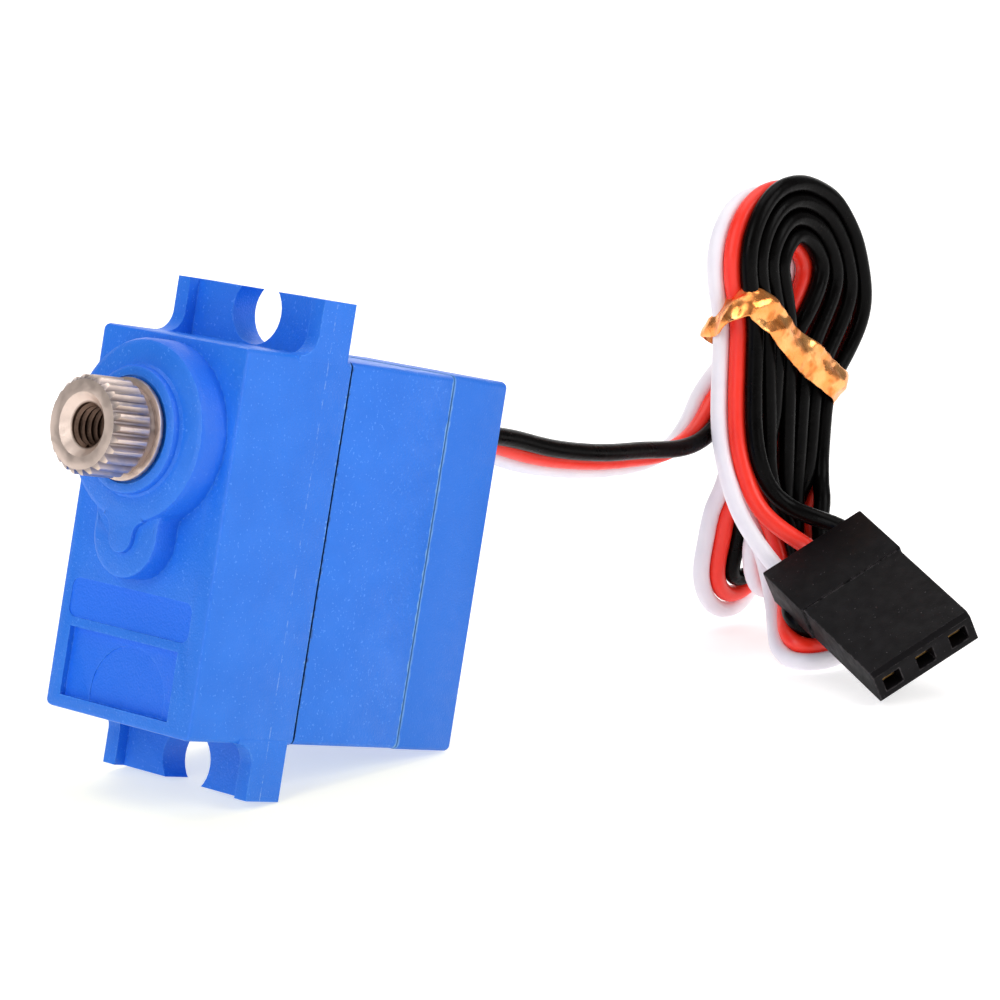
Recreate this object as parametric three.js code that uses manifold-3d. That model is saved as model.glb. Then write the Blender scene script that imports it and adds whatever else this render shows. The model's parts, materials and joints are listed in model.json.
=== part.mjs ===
// Hobby servo motor, micro size, with metal gears and a three-wire lead tied in a hank.
// Millimetres, +Z up. The servo lies tilted on its lower ear and the edge of its bottom cover.
// Servo frame before it is tilted: X runs from the front face to the back, Y across, Z up the long axis.
// Its origin is the centre of the front face, and the output shaft points along -X.
import * as THREE from "three";
import { mergeVertices } from "three/addons/utils/BufferGeometryUtils.js";
import Module from "manifold-3d";

const wasm = await Module();
wasm.setup();

// Casing
const caseLength = 22.8;
const caseWidth = 12.2;
const caseDepth = 22.6;
const wall = 1.0;
const frontWall = 1.2;
const cornerRadius = 0.4;
const edgeRadius = 0.22;
const frontSeam = 8.6;
const frontSeamGap = 0.18;
const rearSeam = 17.7;
const rearSeamGap = 0.1;
const platformHeight = 0.45;
const fitGap = 0.06;

// Mounting ears
const earReach = 3.35;
const earFront = 5.5;
const earBack = 8.2;
const earPanelFront = 6.3;
const earRibWidth = 1.0;
const earFillet = 1.3;
const earSlotRadius = 2.0;
const earSlotPitch = 26.9;

// Shaft positions on the long axis
const outputAxis = 5.66;
const idlerAxis = -0.34;

// Raised shapes on the front face
const bossRadius = 5.4;
const bossHeight = 2.05;
const collarRadius = 3.75;
const collarHeight = 2.65;
const idlerBossRadius = 2.62;
const idlerBossHeight = 1.65;
const tongueRadius = 0.95;
const tongueEnd = -1.5;
const tongueHeight = 2.0;

// Shapes sunk into the front face: a worn label patch and a recess with a curved step in it
const label = { y0: -4.8, y1: 5.3, z0: -5.95, z1: -3.6, radius: 0.6, depth: 0.06 };
const recess = { y0: -4.15, y1: 4.95, z0: -10.6, z1: -6.5, depth: 0.4 };
const recessStep = { y: -0.2, z: -9.95, radius: 3.1, depth: 0.47 };

// Gears
const gearModule = 0.25;
const wheelTeeth = 38;
const firstWheelTeeth = 36;
const pinionTeeth = 10;
const wheelThickness = 0.9;
const backlash = 0.16;
const pinRadius = 0.5;
const runningGap = 0.03;
const wheelRoomRadius = 5.13;
const pinionHoleRadius = 1.55;

// Where each gear starts and ends along the depth
const layerThree = { pinionFront: 2.3, wheelFront: 4.7 };
const layerTwo = { pinionFront: 4.6, wheelFront: 5.9 };
const layerOne = { pinionFront: 5.8, wheelFront: 7.05 };
const outputWheel = { front: 2.4, back: 4.3 };
const motorTeeth = { front: 6.9, back: 8.3 };
const motorAxis = idlerAxis - (gearModule * (firstWheelTeeth + pinionTeeth)) / 2;

// Output shaft
const shaftEnd = -6.3;
const splineTeeth = 25;
const splineRadius = 2.9;
const splineRoot = 2.6;
const splineLength = 2.9;
const shaftRadius = 2.0;
const rimRadius = 3.0;
const rimFront = -3.0;
const rimBack = -2.75;
const threadRadius = 1.3;
const threadDepth = 5.0;
const countersinkRadius = 1.88;
const bushRadius = 2.6;
const shaftTailEnd = 12.6;

// Motor, potentiometer, circuit board and case screws
const motorRadius = 4.0;
const motorFront = 9.9;
const motorBack = 17.0;
const armature = { front: 10.9, back: 15.3, radius: 3.1 };
const commutator = { back: 16.0, radius: 1.2 };
const terminalPlace = 2.4;
const potRadius = 4.1;
const potFront = 10.2;
const potBack = 13.6;
const boardFront = 18.7;
const boardThickness = 0.8;
const screwPlace = { y: 4.65, z: 9.95 };
const screwRadius = 0.55;
const screwHeadRadius = 0.95;
const screwSeat = 1.05;
const postRadius = 1.05;

// Lead, hank, tie and connector, placed in the frame that the servo stands in
const wireDiameter = 1.15;
const leadExit = { y: 0, z: 7.6 };
const grommetReach = 1.3;
const tubeRadius = 0.8;
const tubeSides = 8;
const hank = { y: -1.6, thickness: 3.6, foot: 0.1, top: 31.25,
  headX: 47.9, headRadius: 6.9, footX: 46, footRadius: 4.6 };
const tie = { x: 46.9, z: 20.2, slant: THREE.MathUtils.degToRad(33), height: 1.9, thickness: 0.7,
  halfLength: 8.15, halfWidth: 2.2 };
const connectorLength = 13.9;
const connectorWidth = 7.8;
const connectorThickness = 2.7;
const connectorRearLength = 5.2;
const connectorStep = 0.15;
const contactPitch = 2.54;
const contactSetBack = 0.9;

// The connector lies with one front corner on the floor and its rear on the hank's lower loop.
const connectorRear = new THREE.Vector3(43.36, -7.97, 6.86);
const connectorTurn = new THREE.Euler(
  THREE.MathUtils.degToRad(30.1),
  THREE.MathUtils.degToRad(15.8),
  THREE.MathUtils.degToRad(-110.4),
  "ZYX",
);

// The lead's route from the grommet to the back of the hank, and from the hank to the connector.
const leadRoute = [
  [15.85, 0, 18.1],
  [18.5, 0, 17.4],
  [21.5, 0, 16.3],
  [24.0, 0, 15.4],
  [26.8, 0, 14.7],
  [30.7, 0.2, 13.95],
  [34.7, 0.6, 13.5],
  [37.4, 0.9, 13.2],
  [39.2, 1.0, 13.3],
  [41.5, 1.3, 13.8],
  [43.2, 1.6, 14.9],
  [44.6, 1.7, 16.2],
];
const connectorRoute = [
  [40.8, -4.7, 14.6],
  [40.7, -5.3, 12.4],
  [41.6, -5.3, 10.2],
  [43.3, -5.0, 8.6],
  [44.1, -5.9, 7.6],
  [43.46, -7.7, 6.94],
];

// A closed geometry as a solid that can be joined and cut.
function solid(geometry) {
  const bare = geometry.clone();
  for (const name of Object.keys(bare.attributes)) {
    if (name !== "position") bare.deleteAttribute(name);
  }
  const merged = mergeVertices(bare, 1e-4);
  const vertProperties = new Float32Array(merged.attributes.position.array);
  const triVerts = new Uint32Array(merged.index.array);
  const mesh = new wasm.Mesh({ numProp: 3, vertProperties, triVerts });
  mesh.merge();
  return new wasm.Manifold(mesh);
}

function toGeometry(shape) {
  const mesh = shape.getMesh();
  const geometry = new THREE.BufferGeometry();
  geometry.setAttribute("position", new THREE.BufferAttribute(mesh.vertProperties, 3));
  geometry.setIndex(new THREE.BufferAttribute(mesh.triVerts, 1));
  const flat = geometry.toNonIndexed();
  flat.computeVertexNormals();
  return flat;
}

function join(first, ...others) {
  return others.reduce((whole, other) => whole.add(other), first);
}

function cut(first, ...others) {
  return others.reduce((whole, other) => whole.subtract(other), first);
}

function box(x0, x1, y0, y1, z0, z1) {
  const geometry = new THREE.BoxGeometry(x1 - x0, y1 - y0, z1 - z0);
  geometry.translate((x0 + x1) / 2, (y0 + y1) / 2, (z0 + z1) / 2);
  return solid(geometry);
}

// A shape drawn in Y and Z, extruded along X. A bevel rounds the end edges inside the outline.
function alongDepth(shape, x0, x1, bevel = 0, curveSegments = 12) {
  const geometry = new THREE.ExtrudeGeometry(shape, {
    depth: x1 - x0 - 2 * bevel,
    bevelEnabled: bevel > 0,
    bevelThickness: bevel,
    bevelSize: bevel,
    bevelOffset: -bevel,
    bevelSegments: 2,
    curveSegments,
  });
  geometry.translate(0, 0, x0 + bevel);
  const turn = new THREE.Matrix4().makeBasis(
    new THREE.Vector3(0, 1, 0),
    new THREE.Vector3(0, 0, 1),
    new THREE.Vector3(1, 0, 0),
  );
  return solid(geometry.applyMatrix4(turn));
}

// A shape drawn in X and Z, extruded along Y.
function across(shape, y0, y1, curveSegments = 12) {
  const geometry = new THREE.ExtrudeGeometry(shape, {
    depth: y1 - y0,
    bevelEnabled: false,
    curveSegments,
  });
  geometry.rotateX(Math.PI / 2);
  geometry.translate(0, y1, 0);
  return solid(geometry);
}

// A closed profile of [depth, radius] pairs turned round an axis along X at height z.
function turned(profile, z, y = 0, segments = 32) {
  const points = profile.map(([depth, radius]) => new THREE.Vector2(radius, depth));
  const geometry = new THREE.LatheGeometry(points, segments);
  geometry.rotateZ(-Math.PI / 2);
  geometry.translate(0, y, z);
  return solid(geometry);
}

function rod(x0, x1, radius, z, y = 0, segments = 32) {
  return turned([[x0, 0], [x0, radius], [x1, radius], [x1, 0]], z, y, segments);
}

function roundedRectangle(y0, y1, z0, z1, radius) {
  const shape = new THREE.Shape();
  shape.moveTo(y0 + radius, z0);
  shape.absarc(y1 - radius, z0 + radius, radius, -Math.PI / 2, 0, false);
  shape.absarc(y1 - radius, z1 - radius, radius, 0, Math.PI / 2, false);
  shape.absarc(y0 + radius, z1 - radius, radius, Math.PI / 2, Math.PI, false);
  shape.absarc(y0 + radius, z0 + radius, radius, Math.PI, 1.5 * Math.PI, false);
  return shape;
}

function caseOutline(inset = 0) {
  const y = caseWidth / 2 - inset;
  const z = caseLength / 2 - inset;
  return roundedRectangle(-y, y, -z, z, Math.max(cornerRadius - inset / 2, 0.15));
}

function corners() {
  const places = [];
  for (const y of [-screwPlace.y, screwPlace.y]) {
    for (const z of [-screwPlace.z, screwPlace.z]) places.push({ y, z });
  }
  return places;
}

function posts(x0, x1) {
  return corners().map(({ y, z }) => rod(x0, x1, postRadius, z, y, 16));
}

function screwHoles(x0, x1, radius) {
  return corners().map(({ y, z }) => rod(x0, x1, radius, z, y, 16));
}

// A round-ended neck that runs from a small circle into a large one, with hollow corners.
function neckOutline(radius, centre, fillet) {
  const filletHeight = outputAxis
    - Math.sqrt((bossRadius + fillet) ** 2 - (radius + fillet) ** 2);
  const touch = Math.atan2(outputAxis - filletHeight, -(radius + fillet));
  const shape = new THREE.Shape();
  shape.moveTo(-radius, centre);
  shape.absarc(0, centre, radius, Math.PI, 2 * Math.PI, false);
  shape.lineTo(radius, filletHeight);
  shape.absarc(radius + fillet, filletHeight, fillet, Math.PI, touch, true);
  shape.lineTo(0, outputAxis);
  const left = Math.PI - touch;
  shape.absarc(-radius - fillet, filletHeight, fillet, left, 0, true);
  shape.lineTo(-radius, centre);
  return shape;
}

// One ear: a slotted panel between two ribs, each with a hollow curve into the end wall.
function ear() {
  const inner = caseLength / 2 - 0.3;
  const root = caseLength / 2;
  const outer = caseLength / 2 + earReach;
  const halfWidth = caseWidth / 2;
  const slot = earSlotPitch / 2;
  const panel = box(earPanelFront, earBack, -halfWidth, halfWidth, inner, outer);
  const rib = new THREE.Shape();
  rib.moveTo(earBack, inner);
  rib.lineTo(earBack, outer);
  rib.lineTo(earFront, outer);
  rib.lineTo(earFront, root + earFillet);
  rib.absarc(earFront - earFillet, root + earFillet, earFillet, 0, -Math.PI / 2, true);
  rib.lineTo(earFront - earFillet, inner);
  const ribs = [
    across(rib, -halfWidth, -halfWidth + earRibWidth),
    across(rib, halfWidth - earRibWidth, halfWidth),
  ];
  const hole = rod(earFront - 1, earBack + 1, earSlotRadius, slot, 0, 32);
  return cut(join(panel, ...ribs), hole);
}

function frontFaceShapes() {
  const rounding = 0.45;
  const boss = turned([
    [0.5, 0],
    [0.5, bossRadius],
    [-bossHeight + rounding, bossRadius],
    [-bossHeight + rounding * 0.3, bossRadius - rounding * 0.3],
    [-bossHeight, bossRadius - rounding],
    [-bossHeight, collarRadius + 0.15],
    [-bossHeight - 0.15, collarRadius],
    [-collarHeight + 0.25, collarRadius],
    [-collarHeight + 0.08, collarRadius - 0.08],
    [-collarHeight, collarRadius - 0.25],
    [-collarHeight, 0],
  ].reverse(), outputAxis, 0, 44);
  const idlerBoss = alongDepth(
    neckOutline(idlerBossRadius, idlerAxis, 0.8), -idlerBossHeight, 0.8, 0.25, 9);
  const tongue = alongDepth(
    neckOutline(tongueRadius, tongueEnd + tongueRadius, 1.0), -tongueHeight, 0.8, 0.12, 6);
  return [boss, idlerBoss, tongue];
}

function upperCase() {
  const outside = alongDepth(caseOutline(), 0, frontSeam + 1, edgeRadius, 4);
  const trimBack = box(frontSeam, frontSeam + 2, -20, 20, -20, 20);
  const ears = [ear(), ear().mirror([0, 0, 1])];
  const block = join(outside, ...ears, ...frontFaceShapes());
  const wheelRoom = rod(frontWall, frontSeam + 1, wheelRoomRadius, outputAxis, 0, 40);
  const hollow = join(alongDepth(caseOutline(wall), frontWall, frontSeam + 1, 0, 3), wheelRoom);
  const labelPatch = alongDepth(
    roundedRectangle(label.y0, label.y1, label.z0, label.z1, label.radius), -1, label.depth, 0, 6);
  const recessTo = (depth) => box(-1, depth, recess.y0, recess.y1, recess.z0, recess.z1);
  const step = rod(0, recessStep.depth, recessStep.radius, recessStep.z, recessStep.y, 32)
    .intersect(recessTo(2));
  const bushBore = rod(-collarHeight - 1, frontWall + 1.4, bushRadius + fitGap, outputAxis, 0, 32);
  const rimSeat = rod(-collarHeight - 1, -collarHeight + 0.2, rimRadius + 0.15, outputAxis, 0, 32);
  const bushRing = rod(frontWall - 0.2, frontWall + 0.5, bushRadius + 0.7, outputAxis, 0, 24);
  const pinRing = rod(frontWall - 0.2, frontWall + 0.8, pinRadius + 0.7, idlerAxis, 0, 20);
  const pinHole = rod(-1.0, frontWall + 2, pinRadius + fitGap / 2, idlerAxis, 0, 16);
  const shell = join(
    cut(block, hollow, trimBack), bushRing, pinRing, ...posts(frontWall - 0.2, frontSeam));
  return cut(shell, trimBack, labelPatch, recessTo(recess.depth), step, bushBore, rimSeat, pinHole,
    ...screwHoles(3.4, frontSeam + 1, screwRadius + fitGap / 2));
}

function middleCase() {
  const front = frontSeam + frontSeamGap;
  const outside = alongDepth(caseOutline(0.04), front, rearSeam, 0, 4);
  const platform = alongDepth(
    caseOutline(wall + fitGap), front - platformHeight, front + 0.5, 0, 3);
  const hollow = alongDepth(caseOutline(wall), front + wall, rearSeam + 1, 0, 3);
  const platformPostRoom = corners().map(
    ({ y, z }) => rod(front - 1, front, postRadius + fitGap, z, y, 20));
  const body = join(
    cut(join(outside, cut(platform, ...platformPostRoom)), hollow), ...posts(front, rearSeam));
  const pinionHole = rod(front - 1, front + wall + 1, pinionHoleRadius, motorAxis, 0, 20);
  const shaftHole = rod(front - 1, front + wall + 1, pinRadius + 0.15, outputAxis, 0, 16);
  const pinHole = rod(front - 1, front + 0.7, pinRadius + fitGap / 2, idlerAxis, 0, 16);
  return cut(body, pinionHole, shaftHole, pinHole,
    ...screwHoles(front - 1, rearSeam + 1, screwRadius + 0.12));
}

function bottomCover() {
  const front = rearSeam + rearSeamGap;
  const outside = alongDepth(caseOutline(), front - 1, caseDepth, edgeRadius, 4);
  const trimFront = box(front - 2, front, -20, 20, -20, 20);
  const hollow = alongDepth(caseOutline(wall), front - 1, caseDepth - wall, 0, 3);
  const lipY = caseWidth / 2 - wall - fitGap;
  const lips = [-1, 1].map((side) => box(
    front - 0.6, front + 0.8,
    side > 0 ? lipY - 0.5 : -lipY - 0.1, side > 0 ? lipY + 0.1 : -lipY + 0.5, -6, 6));
  const lipRelief = [-1, 1].map((side) => box(
    front - 2, front, side > 0 ? lipY : -lipY - 1, side > 0 ? lipY + 1 : -lipY, -7, 7));
  const shell = join(
    cut(outside, trimFront, hollow), ...lips, ...posts(front, caseDepth - 0.5));
  const headSeat = caseDepth - screwSeat - 0.05;
  const outlet = alongDepth(
    roundedRectangle(leadExit.y - 2.1, leadExit.y + 2.1, leadExit.z - 1.0, leadExit.z + 1.0, 0.9),
    caseDepth - wall - 1, caseDepth + 1, 0, 4);
  return cut(shell, ...lipRelief, outlet,
    ...screwHoles(front - 1, caseDepth + 1, screwRadius + 0.12),
    ...screwHoles(headSeat, caseDepth + 1, screwHeadRadius + 0.1));
}

// A long cross-head case screw that enters from the back.
function caseScrew({ y, z }) {
  const seat = caseDepth - screwSeat;
  const top = caseDepth - 0.25;
  const body = turned([
    [3.8, 0],
    [4.3, screwRadius],
    [seat, screwRadius],
    [seat, screwHeadRadius],
    [top - 0.25, screwHeadRadius],
    [top, screwHeadRadius - 0.3],
    [top, 0],
  ], z, y, 16);
  const slotDepth = 0.35;
  const cross = join(
    box(top - slotDepth, top + 1, y - 0.6, y + 0.6, z - 0.12, z + 0.12),
    box(top - slotDepth, top + 1, y - 0.12, y + 0.12, z - 0.6, z + 0.6));
  return cut(body, cross);
}

// Tooth outline of a gear, with one tooth centred on the angle phase.
function gearOutline(teeth, phase) {
  const pitchRadius = (gearModule * teeth) / 2;
  const tip = pitchRadius + 0.8 * gearModule;
  const root = pitchRadius - 1.15 * gearModule;
  const slope = Math.tan((20 * Math.PI) / 180);
  const halfAtPitch = (Math.PI / (2 * teeth)) * (1 - backlash);
  const halfAt = (radius) => halfAtPitch + (slope * (pitchRadius - radius)) / pitchRadius;
  const shape = new THREE.Shape();
  for (let i = 0; i < teeth; i += 1) {
    const centre = phase + (2 * Math.PI * i) / teeth;
    const corner = [
      [root, -halfAt(root)],
      [tip, -halfAt(tip)],
      [tip, halfAt(tip)],
      [root, halfAt(root)],
    ];
    for (const [radius, offset] of corner) {
      const y = radius * Math.cos(centre + offset);
      const z = radius * Math.sin(centre + offset);
      if (i === 0 && offset === corner[0][1]) shape.moveTo(y, z);
      else shape.lineTo(y, z);
    }
  }
  return shape;
}

function gear(teeth, phase, x0, x1, z) {
  return alongDepth(gearOutline(teeth, phase), x0, x1).translate([0, 0, z]);
}

// Angles of the line of centres, seen from each shaft.
const up = Math.PI / 2;
const down = -Math.PI / 2;
const halfPitch = Math.PI / pinionTeeth;

// A wheel and a pinion on one hub. The pinion is on the side of the wheel that faces the front.
function compoundGear(teeth, wheelPhase, pinionPhase, { pinionFront, wheelFront }, z) {
  const wheelBack = wheelFront + wheelThickness;
  const wheel = gear(teeth, wheelPhase, wheelFront, wheelBack, z);
  const pinion = gear(pinionTeeth, pinionPhase, pinionFront, wheelFront + 0.1, z);
  const bore = rod(pinionFront - 1, wheelBack + 1, pinRadius + runningGap, z, 0, 20);
  return cut(join(wheel, pinion), bore);
}

const gearThree = () => compoundGear(wheelTeeth, up, up + halfPitch, layerThree, idlerAxis);
const gearTwo = () => compoundGear(wheelTeeth, down, down + halfPitch, layerTwo, outputAxis);
const gearOne = () => compoundGear(firstWheelTeeth, down, up + halfPitch, layerOne, idlerAxis);

function motorPinion() {
  const { front, back } = motorTeeth;
  const teeth = gear(pinionTeeth, up + halfPitch, front, back, motorAxis);
  return cut(teeth, rod(front - 1, back + 1, pinRadius + 0.02, motorAxis, 0, 20));
}

// Outline of the splined end, with one tooth centred on the top.
function splineOutline(tipRadius) {
  const shape = new THREE.Shape();
  const pitch = (2 * Math.PI) / splineTeeth;
  for (let i = 0; i < splineTeeth; i += 1) {
    const centre = up + i * pitch;
    const corner = [
      [splineRoot, -0.42 * pitch],
      [tipRadius, -0.14 * pitch],
      [tipRadius, 0.14 * pitch],
      [splineRoot, 0.42 * pitch],
    ];
    for (const [radius, offset] of corner) {
      const y = radius * Math.cos(centre + offset);
      const z = radius * Math.sin(centre + offset);
      if (i === 0 && offset === corner[0][1]) shape.moveTo(y, z);
      else shape.lineTo(y, z);
    }
  }
  return shape;
}

// Splined shaft, last gear wheel and the thin tail that turns the potentiometer.
function outputGearShaft() {
  const splineBack = shaftEnd + splineLength;
  const envelope = turned([
    [shaftEnd, 0],
    [shaftEnd, splineRoot],
    [shaftEnd + 0.3, splineRadius + 0.02],
    [splineBack - 0.35, splineRadius + 0.02],
    [splineBack, splineRoot],
    [splineBack, 0],
  ], outputAxis, 0, 50);
  const spline = alongDepth(splineOutline(splineRadius), shaftEnd, splineBack)
    .translate([0, 0, outputAxis]).intersect(envelope);
  const spindle = turned([
    [splineBack - 0.5, 0],
    [splineBack - 0.5, splineRoot - 0.05],
    [rimFront, splineRoot],
    [rimFront, rimRadius],
    [rimBack, rimRadius],
    [rimBack, shaftRadius],
    [outputWheel.front + 0.1, shaftRadius],
    [outputWheel.front + 0.1, pinRadius],
    [shaftTailEnd, pinRadius],
    [shaftTailEnd, 0],
  ], outputAxis, 0, 40);
  const wheel = gear(wheelTeeth, down, outputWheel.front, outputWheel.back, outputAxis);
  const thread = turned([
    [shaftEnd - 0.5, 0],
    [shaftEnd - 0.5, countersinkRadius + 0.5],
    [shaftEnd + 0.45, threadRadius + 0.1],
    [shaftEnd + 0.5, threadRadius],
    [shaftEnd + threadDepth, threadRadius],
    [shaftEnd + threadDepth + 0.5, 0],
  ], outputAxis, 0, 32);
  const tailFlat = box(potFront - 0.3, potBack, -1, 1, outputAxis + 0.28, outputAxis + 2);
  return cut(join(spline, spindle, wheel), thread, tailFlat);
}

function outputBush() {
  const front = -collarHeight + 0.25;
  const back = frontWall + 0.6;
  const bore = shaftRadius + 0.05;
  return turned([
    [front, bore],
    [front, bushRadius],
    [back, bushRadius],
    [back, bore],
    [front, bore],
  ], outputAxis, 0, 32);
}

const idlerPin = () => rod(-0.9, frontSeam + frontSeamGap + 0.6, pinRadius, idlerAxis, 0, 16);

// Motor: an open can, an end cap with two terminals and the turning armature.
function motorCan() {
  const can = rod(motorFront, motorBack, motorRadius, motorAxis, 0, 32);
  const nose = rod(motorFront - 0.9, motorFront + 0.1, 1.4, motorAxis, 0, 20);
  const hollow = rod(motorFront + 0.5, motorBack + 1, motorRadius - 0.4, motorAxis, 0, 32);
  const bore = rod(motorFront - 2, motorFront + 2, pinRadius + runningGap, motorAxis, 0, 20);
  return cut(join(can, nose), hollow, bore);
}

function motorArmature() {
  return turned([
    [motorTeeth.front + 0.1, 0],
    [motorTeeth.front + 0.1, pinRadius],
    [armature.front, pinRadius],
    [armature.front, armature.radius],
    [armature.back, armature.radius],
    [armature.back, commutator.radius],
    [commutator.back, commutator.radius],
    [commutator.back, pinRadius],
    [motorBack - 0.1, pinRadius],
    [motorBack - 0.1, 0],
  ], motorAxis, 0, 24);
}

function motorEndCap() {
  const cap = rod(motorBack - 0.7, motorBack + 0.5, motorRadius - 0.45, motorAxis, 0, 32);
  const bore = rod(motorBack - 2, motorBack + 0.1, pinRadius + runningGap, motorAxis, 0, 20);
  const slots = [-terminalPlace, terminalPlace].map((y) => box(
    motorBack - 2, motorBack + 1, y - 0.2, y + 0.2, motorAxis - 0.6, motorAxis + 0.6));
  return cut(cap, bore, ...slots);
}

const motorTerminal = (side) => box(
  motorBack - 0.5, boardFront - 0.1,
  side * terminalPlace - 0.15, side * terminalPlace + 0.15, motorAxis - 0.5, motorAxis + 0.5);

// Potentiometer under the output shaft: an open pot, its wiper and three legs.
function potBody() {
  const body = rod(potFront, potBack, potRadius, outputAxis, 0, 32);
  const hollow = rod(potFront - 1, potBack - 0.6, potRadius - 0.5, outputAxis, 0, 32);
  const foot = box(potBack - 0.6, potBack, -2.6, 2.6, outputAxis - 5.2, outputAxis);
  return cut(join(body, foot), hollow);
}

function potWiper() {
  const disc = rod(potFront + 0.3, potFront + 1.6, 2.9, outputAxis, 0, 24);
  const bore = rod(potFront - 1, potFront + 4, pinRadius + 0.02, outputAxis, 0, 20);
  const flat = box(
    potFront - 1, potFront + 4, -1, 1, outputAxis + 0.3, outputAxis + 1.0);
  const arm = box(potFront + 0.9, potFront + 2.2, -0.5, 0.5, outputAxis - 3.3, outputAxis - 0.9);
  return join(cut(disc, cut(bore, flat)), arm);
}

const potLeg = (index) => box(
  potBack + 0.1, boardFront - 0.1,
  index * 1.8 - 0.2, index * 1.8 + 0.2, outputAxis - 4.9, outputAxis - 4.5);

// Circuit board with its parts.
function circuitBoard() {
  const boardY = caseWidth / 2 - wall - 0.35;
  const boardZ = caseLength / 2 - wall - 0.35;
  const plate = box(boardFront, boardFront + boardThickness, -boardY, boardY, -boardZ, boardZ);
  return cut(plate, ...corners().map(
    ({ y, z }) => rod(boardFront - 1, boardFront + 2, postRadius + 0.25, z, y, 16)));
}

const onBoard = (thickness, y0, y1, z0, z1) => box(
  boardFront + boardThickness + 0.05, boardFront + boardThickness + 0.05 + thickness,
  y0, y1, z0, z1);

// Rubber sleeve in the bottom cover that the lead leaves through.
function cableGrommet() {
  const { y, z } = leadExit;
  const sleeve = alongDepth(
    roundedRectangle(y - 2.0, y + 2.0, z - 0.9, z + 0.9, 0.8),
    caseDepth - wall - 0.1, caseDepth + grommetReach, 0.25, 3);
  const flange = alongDepth(
    roundedRectangle(y - 2.6, y + 2.6, z - 1.3, z + 1.3, 0.6),
    caseDepth - wall - 0.7, caseDepth - wall - 0.06, 0, 4);
  const passage = alongDepth(
    roundedRectangle(y - 1.78, y + 1.78, z - 0.63, z + 0.63, 0.6),
    caseDepth - wall - 2, caseDepth + grommetReach + 1, 0, 3);
  return cut(join(sleeve, flange), passage);
}

const wireTail = (index) => rod(
  boardFront + boardThickness + 0.1, caseDepth + 0.8, wireDiameter / 2 - 0.03,
  leadExit.z, leadExit.y + index * (wireDiameter + 0.02), 10);

// A plain tube along a smooth route.
function tube(route, steps) {
  const path = new THREE.CatmullRomCurve3(route.map((point) => new THREE.Vector3(...point)));
  const section = new THREE.Shape();
  for (let i = 0; i < tubeSides; i += 1) {
    const angle = (2 * Math.PI * i) / tubeSides;
    const x = tubeRadius * Math.cos(angle);
    const y = tubeRadius * Math.sin(angle);
    if (i === 0) section.moveTo(x, y);
    else section.lineTo(x, y);
  }
  return solid(
    new THREE.ExtrudeGeometry(section, { steps, bevelEnabled: false, extrudePath: path }));
}

// The folded lead: a wide round head over a narrower round foot.
function hankSolid() {
  const headZ = hank.top - hank.headRadius;
  const footZ = hank.foot + hank.footRadius;
  const lean = Math.atan2(hank.headX - hank.footX, headZ - footZ);
  const span = Math.hypot(hank.headX - hank.footX, headZ - footZ);
  const taper = Math.asin((hank.headRadius - hank.footRadius) / span);
  const right = -lean - taper;
  const left = Math.PI - lean + taper;
  const outline = new THREE.Shape();
  outline.absarc(hank.headX, headZ, hank.headRadius, right, left, false);
  outline.absarc(hank.footX, footZ, hank.footRadius, left, right + 2 * Math.PI, false);
  return across(outline, hank.y - hank.thickness / 2, hank.y + hank.thickness / 2, 10);
}

// A slanted band round the hank.
function twistTie() {
  const { halfLength, halfWidth, thickness } = tie;
  const outerLength = halfLength + thickness;
  const outerWidth = halfWidth + thickness;
  const inner = roundedRectangle(-halfLength, halfLength, -halfWidth, halfWidth, 1.2);
  const band = new THREE.Shape(
    roundedRectangle(-outerLength, outerLength, -outerWidth, outerWidth, 1.6).getPoints(4));
  band.holes.push(new THREE.Path(inner.getPoints(4)));
  const geometry = new THREE.ExtrudeGeometry(band, { depth: tie.height, bevelEnabled: false });
  geometry.translate(0, 0, -tie.height / 2);
  geometry.rotateY(tie.slant);
  geometry.translate(tie.x, hank.y, tie.z);
  return solid(geometry);
}

// Connector, drawn with X from its wire end to its mating face.
function connectorHousing() {
  const halfWidth = connectorWidth / 2;
  const halfHeight = connectorThickness / 2;
  const chamfer = 0.3;
  const rear = alongDepth(
    roundedRectangle(-halfWidth, halfWidth, -halfHeight, halfHeight, 0.12),
    0, connectorRearLength, 0.1, 2);
  const slim = halfWidth - connectorStep;
  const side = new THREE.Shape();
  side.moveTo(1, -halfHeight);
  side.lineTo(connectorLength - chamfer, -halfHeight);
  side.lineTo(connectorLength, -halfHeight + chamfer);
  side.lineTo(connectorLength, halfHeight - connectorStep - chamfer);
  side.lineTo(connectorLength - chamfer, halfHeight - connectorStep);
  side.lineTo(1, halfHeight - connectorStep);
  const front = across(side, -slim, slim);
  const sockets = [-1, 0, 1].map((index) => box(
    1.6, connectorLength + 1, index * contactPitch - 0.65, index * contactPitch + 0.65, -0.62, 0.5));
  const wireHoles = [-1, 0, 1].map(
    (index) => rod(-1, 2, wireDiameter / 2 + 0.03, -0.05, index * contactPitch, 12));
  return cut(join(rear, front), ...sockets, ...wireHoles);
}

// A box-shaped sleeve that takes one pin.
function contact(index) {
  const y = index * contactPitch;
  const outside = box(3.2, connectorLength - contactSetBack, y - 0.55, y + 0.55, -0.52, 0.4);
  return cut(outside, box(2, connectorLength, y - 0.36, y + 0.36, -0.36, 0.24));
}

function material(color, roughness, metalness) {
  return new THREE.MeshStandardMaterial({ color, roughness, metalness });
}

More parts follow.
